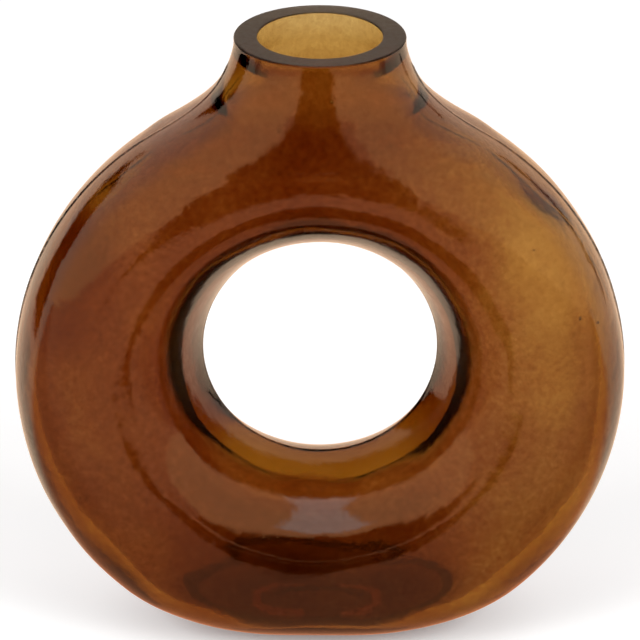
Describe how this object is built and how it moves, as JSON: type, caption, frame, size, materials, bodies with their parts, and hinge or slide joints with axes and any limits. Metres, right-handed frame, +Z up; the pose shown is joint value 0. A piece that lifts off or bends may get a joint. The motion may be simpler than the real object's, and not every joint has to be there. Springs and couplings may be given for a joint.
{
  "type": "flower vase",
  "caption": "Round ring-shaped flower vase of tinted glass with a through hole, a short neck with a ground rim and an oval foot.",
  "frame": {"origin": "middle of the foot, on the plane the vase stands on", "axes": "+Z up along the neck, front face towards -Y, +X to the right seen from the front"},
  "size_m": [0.1808, 0.058, 0.1885],
  "materials": {
    "amber_glass": "translucent amber-brown tinted glass, polished, slightly cloudy",
    "ground_glass": "the same glass with a ground satin face"
  },
  "bodies": {
    "root": {"front_shell": "amber_glass", "back_shell": "amber_glass", "hole_wall": "amber_glass", "foot": "amber_glass", "shoulder": "amber_glass", "neck": "amber_glass", "rim": "ground_glass", "mould_seam": "amber_glass"}
  },
  "joints": []
}
